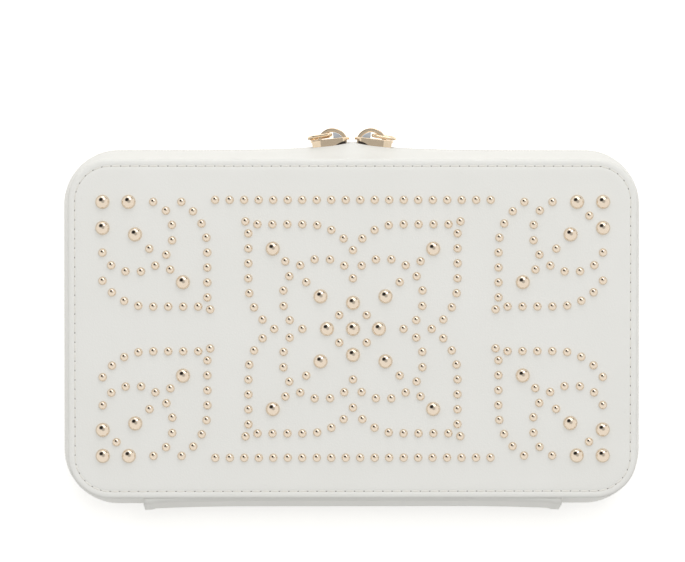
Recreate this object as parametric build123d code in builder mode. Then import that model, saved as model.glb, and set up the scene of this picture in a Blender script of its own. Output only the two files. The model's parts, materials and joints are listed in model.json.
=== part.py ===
"""Zip-around jewellery case with a studded leather lid.

Two shallow board trays, covered in leather and lined with suede, meet at a zip with two sliders.
A leather spine joins them along the back. The base holds ring rolls between four compartments,
and the lid holds a mirror.

Millimetres, +Z up. The origin is the centre of the bottom face, the sliders are at the front (-Y)
and the spine is at the back (+Y).
"""

import os
from dataclasses import dataclass
from math import cos, hypot, radians, sin

from build123d import *

# Case outline: the walls lean outwards from each face to the zip
FACE_LENGTH = 227.6
FACE_DEPTH = 135.4
FACE_CORNER = 16.6
RIM_LENGTH = 233.6
RIM_DEPTH = 143.4
RIM_CORNER = 22.0
BASE_HEIGHT = 26.0
LID_HEIGHT = 22.0
ZIP_GAP = 9.0

# Layers of a wall or a face, from the outside in
LEATHER = 1.2
BOARD = 2.0
LINING = 0.8
FIT = 0.1  # glue line between two layers
FACE_LIP = 0.5  # a face panel stands proud of the wall by this much
FACE_ROUND = 0.7
TURN_IN = 7.0  # width of the wall leather that is turned in under a face panel

# Zip
TAPE = 0.7
TAPE_SEAM = 6.0  # width of tape that is sewn in behind the wall leather
TAPE_TUCK = 6.0  # length of tape that is tucked in behind each end of the spine
COIL_WIDTH = 2.3
COIL_THICKNESS = 1.6
COIL_SPACE = 1.4  # between the two rows, where the neck of a slider runs
COIL_END = 0.6  # from the last turn to the end of the spine

# Spine
SPINE_LENGTH = 168.0
SPINE = 1.8
SPINE_MARGIN = 2.5  # from the spine's long edges to the faces
SPINE_HEM = 4.0
SPINE_HEM_THICKNESS = 0.5

# Studs: a dome on a post through the lid leather
LARGE_STUD = 5.8
LARGE_DOME = 2.0
SMALL_STUD = 3.5
SMALL_DOME = 1.3
STUD_RIM = 0.3
LARGE_POST = 2.0
SMALL_POST = 1.4
POST_CLEARANCE = 0.2

# Stud ornament: eight copies of one motif, four about the centre and four in the corners
MOTIF_SIZE = 43.0  # from the motif's pointed corner to its axes
CORNER_MOTIF_X = 57.1
CORNER_MOTIF_Y = 7.8
ROW_OFFSET = 51.6
ROW_PITCH = 5.8
ROW_COUNT = 20
SIDE_START = 4.8
SIDE_INSET = 1.15
SIDE_STRAIGHT = 20.0
SIDE_TURN = 59.15  # degrees, from the straight run to the motif's axis
SIDE_STUDS = 8
RING_CENTRE = 30.6
RING_RADIUS = 15.7
RING_STEP = 22.75  # degrees
RING_FACING = 225.0  # degrees, towards the motif's pointed corner
RING_STUDS = 8
RING_END = 22.75
OUTER_GEM = 10.9  # large studs and small studs along the motif's diagonal
OUTER_DOT = 15.95
INNER_DOT = 24.3
INNER_GEM = 30.0
HEART_DOT = 37.5
HEART_GEM = 32.6

# Sliders and their ring pulls
SLIDER_LENGTH = 15.6
SLIDER_NOSE = 0.65  # from the middle of the front to each nose
SLIDER_TILT = 6.0  # degrees, because the chain swells between the noses
SLIDER_FIT = 0.3
SLIDER_LIFT = 3.0  # room for the swollen chain under the outer plate
SLIDER_ROOM = 0.9  # room behind the tape
SLIDER_PLATE = 1.1
SLIDER_BACK = 1.0
SLIDER_NECK = 1.0
SLIDER_NECK_LENGTH = 3.0
SLIDER_NOSE_CUT = 2.5
SLIDER_TAIL_TAPER = 3.8
SLIDER_TAIL_CUT = 1.0
SLIDER_CORNER = 0.8
SLIDER_RAIL = 0.9
SLIDER_ROUND = 0.4
BRIDGE_SPAN = 12.0
BRIDGE_HEIGHT = 4.3
BRIDGE_SHIFT = 0.9  # from the middle of the slider towards its nose
BRIDGE_BAR = 1.7
BRIDGE_WIDTH = 2.8
SPRING = 0.8  # the flat lock spring under a bridge
RING_WIRE = 1.3
PULL_LENGTH = 9.0
PULL_WIDTH = 5.3
PULL_INNER_BEND = 1.5
PULL_OUTER_BEND = 2.4
PULL_SHIFT = 0.4  # from the middle of the bridge towards the tail
PULL_HEIGHT = 1.45  # middle of the ring's bar above the outer plate
PULL_TILT = 3.0  # degrees, the ring rests on the tail of the slider
PULL_ROLL = 7.0  # degrees, the ring leans to one side

# Inside of the base
DIVIDER = 3.0
DIVIDER_HEIGHT = 17.0
DIVIDER_FIT = 0.3
BAY_LENGTH = 84.0
ROLL_COUNT = 7
ROLL_HEIGHT = 15.5
ROLL_FIT = 0.3
ROLL_SEAT_ROUND = 3.0
ROLL_END_ROUND = 2.0

# Inside of the lid
MIRROR_LENGTH = 130.0
MIRROR_DEPTH = 78.0
MIRROR_CORNER = 6.0
MIRROR = 1.8
MIRROR_FRAME = 3.0
MIRROR_FRAME_LIP = 1.5
MIRROR_FRAME_HEIGHT = 2.6

# Derived places
TOTAL_HEIGHT = BASE_HEIGHT + ZIP_GAP + LID_HEIGHT
ZIP_MIDDLE = BASE_HEIGHT + ZIP_GAP / 2
BOARD_FLOOR = 2 * LEATHER + BOARD  # depth of the boards' inner face below a face of the case
LINING_FLOOR = BOARD_FLOOR + LINING
TAPE_INSET = LEATHER + FIT
BOARD_INSET = LEATHER + FIT
LINING_INSET = BOARD_INSET + BOARD + FIT
INNER_INSET = LINING_INSET + LINING


@dataclass(frozen=True)
class Half:
    """One tray of the case: depths run inwards from its face, up in the base and down in the lid."""

    name: str
    face: float
    inwards: int
    height: float

    def level(self, depth):
        return self.face + self.inwards * depth


BASE = Half("base", 0.0, 1, BASE_HEIGHT)
LID = Half("lid", TOTAL_HEIGHT, -1, LID_HEIGHT)


def wall_size(half, depth, inset):
    """Length, depth and corner radius of the wall's outline, set in from its outer surface."""
    share = min(max((depth - LEATHER) / (half.height - LEATHER), 0.0), 1.0)
    length = (FACE_LENGTH - 2 * FACE_LIP) * (1 - share) + RIM_LENGTH * share
    across = (FACE_DEPTH - 2 * FACE_LIP) * (1 - share) + RIM_DEPTH * share
    corner = (FACE_CORNER - FACE_LIP) * (1 - share) + RIM_CORNER * share
    return length - 2 * inset, across - 2 * inset, corner - inset


def outline(half, depth, inset):
    """The wall's outline as a sketch at the given depth."""
    with BuildSketch(Plane.XY.offset(half.level(depth))) as profile:
        RectangleRounded(*wall_size(half, depth, inset))
    return profile.sketch


def leaning_block(half, start, end, inset):
    """The two sketches of a block that leans as the wall does."""
    return [outline(half, start, inset), outline(half, end, inset)]


def save(piece, name):
    piece.part.label = name
    export_step(piece.part, f"parts/{name}.step")


os.makedirs("parts", exist_ok=True)

# Places of the studs on the lid


def motif_side():
    """Small studs evenly along a straight run and the bend that ends on the motif's axis."""
    rise = MOTIF_SIZE - SIDE_START - SIDE_STRAIGHT
    bend = rise / sin(radians(SIDE_TURN))
    with BuildLine(mode=Mode.PRIVATE) as side:
        run = Line((SIDE_INSET, SIDE_START), (SIDE_INSET, SIDE_START + SIDE_STRAIGHT))
        JernArc(run @ 1, run % 1, bend, -SIDE_TURN)
    path = side.wires()[0]
    places = [path @ (i / (SIDE_STUDS - 1)) for i in range(SIDE_STUDS)]
    return [(place.X, place.Y) for place in places]


def motif_ring():
    """Small studs on an arc about the inner large stud, open towards the motif's axes."""
    first = RING_FACING - RING_STEP * (RING_STUDS - 1) / 2
    angles = [radians(first + RING_STEP * i) for i in range(RING_STUDS)]
    arc = [(RING_CENTRE + RING_RADIUS * cos(a), RING_CENTRE + RING_RADIUS * sin(a)) for a in angles]
    return arc + [(RING_END, MOTIF_SIZE), (MOTIF_SIZE, RING_END)]


side_places = motif_side()
MOTIF_SMALL = side_places + [(b, a) for a, b in side_places] + motif_ring()
MOTIF_SMALL += [(d, d) for d in (0.0, OUTER_DOT, INNER_DOT, HEART_DOT)]
MOTIF_LARGE = [(d, d) for d in (OUTER_GEM, INNER_GEM, MOTIF_SIZE)]
MOTIF_LARGE += [(HEART_GEM, MOTIF_SIZE), (MOTIF_SIZE, HEART_GEM)]


def lid_places(motif):
    """The motif's studs in all eight copies, with each shared stud once."""
    quarter = [(MOTIF_SIZE - a, MOTIF_SIZE - b) for a, b in motif]
    quarter += [(CORNER_MOTIF_X + a, CORNER_MOTIF_Y + b) for a, b in motif]
    places = {}
    for x, y in quarter:
        for sign_x in (1, -1):
            for sign_y in (1, -1):
                key = (round(sign_x * x, 3) + 0.0, round(sign_y * y, 3) + 0.0)
                places[key] = key
    return list(places)


large_places = lid_places(MOTIF_LARGE)
small_places = lid_places(MOTIF_SMALL)
# One small stud is lost from the front right corner
lost_stud = (round(CORNER_MOTIF_X + HEART_DOT, 3), round(-CORNER_MOTIF_Y - HEART_DOT, 3))
small_places.remove(lost_stud)
row_places = [ROW_PITCH * (i - (ROW_COUNT - 1) / 2) for i in range(ROW_COUNT)]
small_places += [(x, side * ROW_OFFSET) for x in row_places for side in (1, -1)]
closest = min(
    hypot(p[0] - q[0], p[1] - q[1])
    for i, p in enumerate(small_places)
    for q in small_places[:i]
)
print(f"{len(large_places)} large studs, {len(small_places)} small studs, closest pitch {closest:.2f} mm")

# The two trays: leather, padding, boards, lining, tape and coil

for half in (BASE, LID):
    inner = half.inwards

    with BuildPart() as face_leather:
        with BuildSketch(Plane.XY.offset(half.face)):
            RectangleRounded(FACE_LENGTH, FACE_DEPTH, FACE_CORNER)
        extrude(amount=inner * LEATHER)
        outer_face = face_leather.faces().sort_by(Axis.Z)[0 if half is BASE else -1]
        fillet(outer_face.edges(), FACE_ROUND)
        if half is LID:
            with BuildSketch(Plane.XY.offset(half.face)):
                with Locations(*large_places):
                    Circle(LARGE_POST / 2 + POST_CLEARANCE)
                with Locations(*small_places):
                    Circle(SMALL_POST / 2 + POST_CLEARANCE)
            extrude(amount=inner * LEATHER, mode=Mode.SUBTRACT)
    save(face_leather, f"{half.name}_face_leather")

    with BuildPart() as wall_leather:
        loft(leaning_block(half, LEATHER, half.height, 0.0), ruled=True)
        loft(leaning_block(half, 2 * LEATHER, half.height, LEATHER), ruled=True, mode=Mode.SUBTRACT)
        extrude(outline(half, LEATHER, TURN_IN), amount=inner * LEATHER, mode=Mode.SUBTRACT)
    save(wall_leather, f"{half.name}_wall_leather")

    with BuildPart() as face_padding:
        extrude(outline(half, LEATHER, TURN_IN + FIT), amount=inner * LEATHER)
    save(face_padding, f"{half.name}_face_padding")

    with BuildPart() as face_board:
        extrude(outline(half, 2 * LEATHER, BOARD_INSET), amount=inner * BOARD)
    save(face_board, f"{half.name}_face_board")

    with BuildPart() as rim_board:
        board_end = half.height - TAPE_SEAM - FIT
        loft(leaning_block(half, BOARD_FLOOR, board_end, BOARD_INSET), ruled=True)
        loft(
            leaning_block(half, BOARD_FLOOR, board_end, BOARD_INSET + BOARD),
            ruled=True,
            mode=Mode.SUBTRACT,
        )
    save(rim_board, f"{half.name}_rim_board")

    with BuildPart() as face_lining:
        extrude(outline(half, BOARD_FLOOR, LINING_INSET), amount=inner * LINING)
    save(face_lining, f"{half.name}_face_lining")

    # The wall lining turns outwards over the rim as far as the tape
    with BuildPart() as wall_lining:
        loft(leaning_block(half, LINING_FLOOR, half.height, LINING_INSET), ruled=True)
        turned = TAPE_INSET + TAPE + FIT
        loft(leaning_block(half, half.height - LINING, half.height, turned), ruled=True)
        loft(
            leaning_block(half, LINING_FLOOR, half.height, INNER_INSET),
            ruled=True,
            mode=Mode.SUBTRACT,
        )
    save(wall_lining, f"{half.name}_wall_lining")

    tape_reach = ZIP_GAP / 2 - COIL_SPACE / 2
    with BuildPart() as zip_tape:
        seam = half.height - TAPE_SEAM
        loft(leaning_block(half, seam, half.height, TAPE_INSET), ruled=True)
        extrude(outline(half, half.height, TAPE_INSET), amount=inner * tape_reach)
        loft(leaning_block(half, seam, half.height, TAPE_INSET + TAPE), ruled=True, mode=Mode.SUBTRACT)
        extrude(
            outline(half, half.height, TAPE_INSET + TAPE),
            amount=inner * tape_reach,
            mode=Mode.SUBTRACT,
        )
        with Locations((0, RIM_DEPTH / 2, ZIP_MIDDLE)):
            Box(SPINE_LENGTH - 2 * TAPE_TUCK, RIM_CORNER, TOTAL_HEIGHT, mode=Mode.SUBTRACT)
    save(zip_tape, f"{half.name}_zip_tape")

    with BuildPart() as zip_coil:
        coil_start = half.height + tape_reach - COIL_WIDTH
        coil_inset = TAPE_INSET - FIT
        extrude(outline(half, coil_start, coil_inset - COIL_THICKNESS), amount=inner * COIL_WIDTH)
        extrude(outline(half, coil_start, coil_inset), amount=inner * COIL_WIDTH, mode=Mode.SUBTRACT)
        with Locations((0, RIM_DEPTH / 2, ZIP_MIDDLE)):
            Box(SPINE_LENGTH + 2 * COIL_END, RIM_CORNER, TOTAL_HEIGHT, mode=Mode.SUBTRACT)
    save(zip_coil, f"{half.name}_zip_coil")

# Spine: leather along the back of both walls, with a turned hem at each end


def spine_profile(plane, thickness):
    """Section of the spine, from the base wall over the zip gap to the lid wall."""
    back = []
    for half, depth in ((BASE, SPINE_MARGIN), (BASE, BASE_HEIGHT), (LID, LID_HEIGHT), (LID, SPINE_MARGIN)):
        back.append((wall_size(half, depth, 0.0)[1] / 2 + FIT, half.level(depth)))
    front = [(y + thickness, z) for y, z in reversed(back)]
    with BuildSketch(plane) as profile:
        with BuildLine():
            Polyline(*back, *front, close=True)
        make_face()
    return profile.sketch


with BuildPart() as spine_leather:
    extrude(spine_profile(Plane.YZ, SPINE), amount=SPINE_LENGTH / 2, both=True)
    for side in (-1, 1):
        spine_end = Plane.YZ.offset(side * SPINE_LENGTH / 2)
        extrude(spine_profile(spine_end, SPINE + SPINE_HEM_THICKNESS), amount=-side * SPINE_HEM)
save(spine_leather, "spine_leather")

with BuildPart() as hinge_lining:
    with BuildSketch(Plane.YZ):
        with Locations((RIM_DEPTH / 2 - LINING / 2, ZIP_MIDDLE)):
            Rectangle(LINING, ZIP_GAP - 2 * FIT)
    extrude(amount=SPINE_LENGTH / 2 - TAPE_TUCK - FIT, both=True)
save(hinge_lining, "hinge_lining")

# Studs: each is a separate dome on its post


def stud_profile(diameter, dome, post):
    """Half section of one stud, on its axis at the origin, with the leather's surface at Z 0."""
    ball = ((diameter / 2) ** 2 + dome**2) / (2 * dome)
    with BuildSketch(Plane.XZ) as profile:
        with BuildLine():
            foot = Polyline((0, -LEATHER), (post / 2, -LEATHER), (post / 2, 0), (diameter / 2, 0))
            rim = Line(foot @ 1, (diameter / 2, STUD_RIM))
            crown = RadiusArc(rim @ 1, (0, STUD_RIM + dome), -ball)
            Line(crown @ 1, foot @ 0)
        make_face()
    return profile.sketch


STUDS = (
    ("large_studs", LARGE_STUD, LARGE_DOME, LARGE_POST, large_places),
    ("small_studs", SMALL_STUD, SMALL_DOME, SMALL_POST, small_places),
)
for name, diameter, dome, post, places in STUDS:
    with BuildPart() as one_stud:
        revolve(stud_profile(diameter, dome, post), axis=Axis.Z)
    with BuildPart() as studs:
        with Locations(*[(x, y, TOTAL_HEIGHT) for x, y in places]):
            add(one_stud.part)
    save(studs, name)

# Sliders, bridges and ring pulls at the middle of the front

slider_half = ZIP_GAP / 2 - SLIDER_FIT
skirt_foot = COIL_THICKNESS - LEATHER + SLIDER_FIT
plate_back = skirt_foot + SLIDER_LIFT
plate_front = plate_back + SLIDER_PLATE
rail_foot = 2 * SLIDER_FIT - TAPE_INSET
inner_plate = -(TAPE_INSET + TAPE + SLIDER_FIT + SLIDER_ROOM)
slider_middle = SLIDER_NOSE + SLIDER_LENGTH / 2
nose = -SLIDER_LENGTH / 2
tail = SLIDER_LENGTH / 2


def slider_plate(plane):
    """Outline of a slider's plate: a blunt nose, straight sides and a narrower tail."""
    with BuildSketch(plane) as plate:
        with BuildLine():
            Polyline(
                (nose, 0),
                (nose, slider_half - SLIDER_NOSE_CUT),
                (nose + SLIDER_NOSE_CUT, slider_half),
                (tail - SLIDER_TAIL_TAPER, slider_half),
                (tail, slider_half - SLIDER_TAIL_CUT),
                (tail, 0),
            )
            mirror(about=Plane.XZ)
        make_face()
        fillet(plate.vertices(), SLIDER_CORNER)
    return plate.sketch


def bridge_arc(bar):
    """Arc of the bridge seen from the side, set in from its outer side by a bar."""
    foot = BRIDGE_SPAN / 2 - bar
    crown = plate_front + BRIDGE_HEIGHT - bar
    return ThreePointArc((-foot, plate_front), (0, crown), (foot, plate_front))


def bridge_profile(plane):
    """The bridge seen from the side: two arcs that stand on the outer plate."""
    with BuildSketch(plane) as profile:
        with BuildLine():
            outer = bridge_arc(0)
            inner = bridge_arc(BRIDGE_BAR)
            Line(outer @ 0, inner @ 0)
            Line(outer @ 1, inner @ 1)
        make_face()
    return profile.sketch


def spring_profile(plane):
    """The lock spring seen from the side: it fills the bridge from its nose end to the ring's bar."""
    spring_end = PULL_SHIFT - RING_WIRE / 2 - SLIDER_FIT
    with BuildSketch(plane) as spring:
        with BuildLine():
            inner = bridge_arc(BRIDGE_BAR + FIT)
            Line(inner @ 0, inner @ 1)
        make_face()
        with Locations((spring_end, plate_front)):
            Rectangle(BRIDGE_SPAN, BRIDGE_HEIGHT, align=(Align.MAX, Align.MIN), mode=Mode.INTERSECT)
    return spring.sketch


for side, name in ((-1, "left"), (1, "right")):
    # X of these planes runs from the nose to the tail, and the front of the case is up
    middle = Vector(side * slider_middle, -RIM_DEPTH / 2, ZIP_MIDDLE)
    towards_tail = Vector(side * cos(radians(SLIDER_TILT)), sin(radians(SLIDER_TILT)), 0)
    upright = Plane(origin=middle, x_dir=towards_tail, z_dir=(0, 0, -side))
    flat = Plane(origin=middle, x_dir=towards_tail, z_dir=upright.y_dir)
    under_bridge = upright.from_local_coords((-BRIDGE_SHIFT, 0, 0))
    arch = Plane(origin=under_bridge, x_dir=towards_tail, z_dir=upright.z_dir)

    with BuildPart() as slider:
        # The outer plate and its skirts, which flank the chain
        extrude(slider_plate(flat.offset(skirt_foot)), amount=plate_front - skirt_foot)
        outer_edges = slider.faces().sort_by(Axis.Y)[0].edges()
        fillet(outer_edges, SLIDER_ROUND)
        chain_width = 2 * (slider_half - SLIDER_RAIL)
        with BuildSketch(flat.offset(skirt_foot)):
            Rectangle(2 * SLIDER_LENGTH, chain_width)
        extrude(amount=plate_back - skirt_foot, mode=Mode.SUBTRACT)
        extrude(slider_plate(flat.offset(inner_plate)), amount=-SLIDER_BACK)
        with BuildSketch(flat.offset(inner_plate)):
            with Locations((nose + SLIDER_NOSE_CUT, 0)):
                Rectangle(SLIDER_NECK_LENGTH, SLIDER_NECK)
        extrude(amount=plate_back - inner_plate)
        # On the base's side the skirt goes on as a rail, which holds that row of the chain
        with BuildSketch(flat.offset(skirt_foot)):
            rail_length = SLIDER_LENGTH - SLIDER_NOSE_CUT - SLIDER_TAIL_TAPER
            rail_middle = (SLIDER_NOSE_CUT - SLIDER_TAIL_TAPER) / 2
            with Locations((rail_middle, -side * (slider_half - SLIDER_RAIL / 2))):
                Rectangle(rail_length - 2 * SLIDER_CORNER, SLIDER_RAIL)
        extrude(amount=rail_foot - skirt_foot)
    save(slider, f"slider_{name}")

    with BuildPart() as bridge:
        extrude(bridge_profile(arch), amount=BRIDGE_WIDTH / 2, both=True)
        long_edges = bridge.edges().filter_by(GeomType.CIRCLE)
        fillet(long_edges, SLIDER_ROUND)
    save(bridge, f"slider_bridge_{name}")

    with BuildPart() as lock_spring:
        extrude(spring_profile(arch), amount=SPRING / 2, both=True)
    save(lock_spring, f"lock_spring_{name}")

    with BuildPart() as pull:
        pivot = arch.from_local_coords((PULL_SHIFT, plate_front + PULL_HEIGHT, 0))
        ahead = arch.from_local_coords(Vector(cos(radians(PULL_TILT)), -sin(radians(PULL_TILT)), 0))
        along = ahead - under_bridge
        level = Plane(origin=pivot, x_dir=along, z_dir=Vector(0, 0, 1).cross(along))
        lie = level.rotated((side * PULL_ROLL, 0, 0))
        print(f"{name} ring turns about", [round(place, 3) for place in pivot])
        with BuildLine(lie) as ring:
            FilletPolyline(
                (0, 0),
                (0, PULL_WIDTH / 2),
                (PULL_LENGTH, PULL_WIDTH / 2),
                (PULL_LENGTH, 0),
                radius=(PULL_INNER_BEND, PULL_OUTER_BEND),
            )
            mirror(about=Plane(origin=pivot, x_dir=along, z_dir=lie.y_dir))
        with BuildSketch(Plane(ring.wires()[0] ^ 0)):
            Circle(RING_WIRE / 2)
        sweep()
    save(pull, f"ring_pull_{name}")

# Inside of the base: dividers, ring rolls and the spaces between them

divider_top = LINING_FLOOR + DIVIDER_HEIGHT


def inner_half(depth):
    """Half length and half depth of the base's lined space at a depth above the bottom face."""
    length, across, corner = wall_size(BASE, depth, INNER_INSET)
    return length / 2 - DIVIDER_FIT, across / 2 - DIVIDER_FIT


floor_length, floor_across = inner_half(LINING_FLOOR)
top_length, top_across = inner_half(divider_top)
bay_half = BAY_LENGTH / 2
for side, name in ((-1, "left"), (1, "right")):
    with BuildPart() as long_divider:
        with BuildSketch(Plane.YZ.offset(side * (bay_half + DIVIDER / 2))):
            with BuildLine():
                Polyline(
                    (-floor_across, LINING_FLOOR),
                    (floor_across, LINING_FLOOR),
                    (top_across, divider_top),
                    (-top_across, divider_top),
                    close=True,
                )
            make_face()
        extrude(amount=DIVIDER / 2, both=True)
    save(long_divider, f"divider_{name}")

    with BuildPart() as cross_divider:
        start = side * (bay_half + DIVIDER)
        with BuildSketch(Plane.XZ):
            with BuildLine():
                Polyline(
                    (start, LINING_FLOOR),
                    (side * floor_length, LINING_FLOOR),
                    (side * top_length, divider_top),
                    (start, divider_top),
                    close=True,
                )
            make_face()
        extrude(amount=DIVIDER / 2, both=True)
    save(cross_divider, f"cross_divider_{name}")

roll_pitch = (2 * floor_across - ROLL_FIT) / ROLL_COUNT
roll_width = roll_pitch - ROLL_FIT
for number in range(ROLL_COUNT):
    with BuildPart() as ring_roll:
        across = roll_pitch * (number - (ROLL_COUNT - 1) / 2)
        with BuildSketch(Plane(origin=(0, across, LINING_FLOOR), x_dir=(0, 1, 0), z_dir=(1, 0, 0))):
            with BuildLine():
                seat = Line((0, 0), (roll_width / 2 - ROLL_SEAT_ROUND, 0))
                corner = JernArc(seat @ 1, seat % 1, ROLL_SEAT_ROUND, 90)
                flank = Line(corner @ 1, (roll_width / 2, ROLL_HEIGHT - roll_width / 2))
                JernArc(flank @ 1, flank % 1, roll_width / 2, 90)
                mirror(about=Plane.YZ)
            make_face()
        extrude(amount=bay_half - ROLL_FIT, both=True)
        ends = ring_roll.faces().filter_by(Axis.X)
        fillet(ends.edges(), ROLL_END_ROUND)
    save(ring_roll, f"ring_roll_{number + 1}")

# Inside of the lid: a mirror in its frame

mirror_back = LID.level(LINING_FLOOR)
with BuildPart() as mirror_glass:
    with BuildSketch(Plane.XY.offset(mirror_back)):
        RectangleRounded(MIRROR_LENGTH, MIRROR_DEPTH, MIRROR_CORNER)
    extrude(amount=-MIRROR)
save(mirror_glass, "mirror_glass")

with BuildPart() as mirror_frame:
    with BuildSketch(Plane.XY.offset(mirror_back)):
        RectangleRounded(
            MIRROR_LENGTH + 2 * MIRROR_FRAME,
            MIRROR_DEPTH + 2 * MIRROR_FRAME,
            MIRROR_CORNER + MIRROR_FRAME,
        )
    extrude(amount=-MIRROR_FRAME_HEIGHT)
    fillet(mirror_frame.faces().sort_by(Axis.Z)[0].edges(), FACE_ROUND)
    with BuildSketch(Plane.XY.offset(mirror_back)):
        RectangleRounded(MIRROR_LENGTH + 2 * FIT, MIRROR_DEPTH + 2 * FIT, MIRROR_CORNER + FIT)
    extrude(amount=-MIRROR, mode=Mode.SUBTRACT)
    with BuildSketch(Plane.XY.offset(mirror_back)):
        RectangleRounded(
            MIRROR_LENGTH - 2 * MIRROR_FRAME_LIP,
            MIRROR_DEPTH - 2 * MIRROR_FRAME_LIP,
            MIRROR_CORNER - MIRROR_FRAME_LIP,
        )
    extrude(amount=-MIRROR_FRAME_HEIGHT, mode=Mode.SUBTRACT)
save(mirror_frame, "mirror_frame")
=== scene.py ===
# %% [markdown]
# # A zip-around jewellery case in ivory leather
#
# The case is two shallow trays of board, covered in smooth ivory leather and closed by a zip with two
# pale gold sliders. Domed studs make an ornament on the lid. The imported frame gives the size, the place
# and the motion of every piece, and this lesson gives each one its finished form and material.

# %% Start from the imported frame
import json
import math

import bmesh
import bpy
from mathutils import Matrix, Vector

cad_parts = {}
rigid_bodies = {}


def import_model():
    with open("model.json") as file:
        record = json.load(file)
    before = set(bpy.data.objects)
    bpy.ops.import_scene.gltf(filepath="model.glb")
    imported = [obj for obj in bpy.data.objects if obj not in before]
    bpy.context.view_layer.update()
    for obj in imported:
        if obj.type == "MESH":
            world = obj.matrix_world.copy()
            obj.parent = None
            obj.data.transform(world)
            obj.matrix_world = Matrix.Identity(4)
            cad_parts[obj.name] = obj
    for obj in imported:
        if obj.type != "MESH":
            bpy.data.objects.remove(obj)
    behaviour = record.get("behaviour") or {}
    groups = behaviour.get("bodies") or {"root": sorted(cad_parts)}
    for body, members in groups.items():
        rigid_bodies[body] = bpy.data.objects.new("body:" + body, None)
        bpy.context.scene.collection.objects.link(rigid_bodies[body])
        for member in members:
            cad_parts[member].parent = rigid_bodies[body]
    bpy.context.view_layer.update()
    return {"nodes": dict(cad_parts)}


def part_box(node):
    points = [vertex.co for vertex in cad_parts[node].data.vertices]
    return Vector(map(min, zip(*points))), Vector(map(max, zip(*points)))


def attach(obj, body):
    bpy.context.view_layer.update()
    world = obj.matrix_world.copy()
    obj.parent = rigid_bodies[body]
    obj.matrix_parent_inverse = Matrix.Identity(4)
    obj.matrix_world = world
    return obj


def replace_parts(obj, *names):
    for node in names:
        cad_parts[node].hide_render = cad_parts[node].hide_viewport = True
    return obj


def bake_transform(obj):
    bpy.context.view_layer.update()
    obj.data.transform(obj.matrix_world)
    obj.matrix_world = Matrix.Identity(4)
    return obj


for leftover in list(bpy.data.objects):
    bpy.data.objects.remove(leftover)
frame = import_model()
nodes = frame["nodes"]
MM = 0.001

# %% [markdown]
# Two small helpers are used all the way through. One adds an object to the scene, and the other turns a
# bmesh, in which shapes are drawn, into a mesh.

# %% Objects and meshes


def add_object(name, data):
    """A new object in the scene."""
    made = bpy.data.objects.new(name, data)
    bpy.context.scene.collection.objects.link(made)
    return made


def to_mesh(bm, name):
    """The mesh that a bmesh holds."""
    mesh = bpy.data.meshes.new(name)
    bm.to_mesh(mesh)
    bm.free()
    return mesh


# %% [markdown]
# The camera looks almost straight down on the lid, with the front of the case at the top of the picture.
# A long lens keeps the sides of the case nearly hidden. The picture's scale is known from the lid's real
# length, so the lens follows from the distance, and the camera is aimed beside the lid's centre instead
# of being shifted.

# %% Camera
PICTURE_WIDTH = 685
PICTURE_HEIGHT = 562
PIXEL = 0.4 * MM
LID_CENTRE_PIXEL = (353.0, 328.9)
CAMERA_DISTANCE = 1.4
LEAN_TO_FRONT = math.radians(1.3)
LEAN_TO_RIGHT = math.radians(0.8)

FACE_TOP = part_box("lid_face_leather")[1].z
aim = Vector((
    (LID_CENTRE_PIXEL[0] - PICTURE_WIDTH / 2) * PIXEL,
    (PICTURE_HEIGHT / 2 - LID_CENTRE_PIXEL[1]) * PIXEL,
    FACE_TOP,
))
towards_camera = Vector((math.tan(LEAN_TO_RIGHT), -math.tan(LEAN_TO_FRONT), 1.0)).normalized()
picture_right = Vector((0, -1, 0)).cross(towards_camera).normalized()
picture_up = towards_camera.cross(picture_right)
camera = add_object("camera", bpy.data.cameras.new("camera"))
turned = Matrix((picture_right, picture_up, towards_camera)).transposed().to_4x4()
camera.matrix_world = Matrix.Translation(aim + towards_camera * CAMERA_DISTANCE) @ turned
camera.data.lens = camera.data.sensor_width * CAMERA_DISTANCE / (PICTURE_WIDTH * PIXEL)
camera.data.clip_end = 20
bpy.context.scene.camera = camera
print("lens", round(camera.data.lens), "mm at", CAMERA_DISTANCE, "m")

# %% [markdown]
# The studio is a white dome, a white floor and three soft lamps. The dome gives most of the light, so a
# colour renders about as it is written. Polished studs mirror the whole studio. What they mirror therefore
# has a dark opening at the front left, a grey patch about the camera, where a photographer and a stand would
# be, and a dark panel low at the front right. Left and right are those of the picture.

# %% Studio dome
WHITE = (1, 1, 1, 1)
DOME_LIGHT = 0.62
DOME_SLOPE = 0.35
# direction, degrees from the middle to the outer edge and to where it is darkest, and the light left there
OPENING = ((0.36, -0.55, 0.755), (34, 17), 0.02)
STAND = ((-0.12, -0.14, 0.98), (30, 10), 0.52)
PANEL = ((-0.65, -0.75, 0.12), (16, 6), 0.2)

bpy.context.scene.view_settings.view_transform = "Standard"


def maths(tree, operation, *values):
    """The result of a Math node on sockets and numbers."""
    node = tree.nodes.new("ShaderNodeMath")
    node.operation = operation
    for socket, value in zip(node.inputs, values):
        if isinstance(value, float):
            socket.default_value = value
        else:
            tree.links.new(value, socket)
    return node.outputs[0]


def picture_rays(tree):
    """1 for rays from the camera, from gloss and through glass, 0 for rays that only light a surface."""
    path = tree.nodes.new("ShaderNodeLightPath")
    either = maths(tree, "MAXIMUM", path.outputs["Is Camera Ray"], path.outputs["Is Glossy Ray"])
    return maths(tree, "MAXIMUM", either, path.outputs["Is Transmission Ray"])


def along_direction(tree, direction):
    """How far a ray of the dome points along a direction, from -1 to 1."""
    where = tree.nodes.new("ShaderNodeTexCoord")
    along = tree.nodes.new("ShaderNodeVectorMath")
    along.operation = "DOT_PRODUCT"
    along.inputs[1].default_value = direction
    tree.links.new(where.outputs["Generated"], along.inputs[0])
    return along.outputs["Value"]


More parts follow.
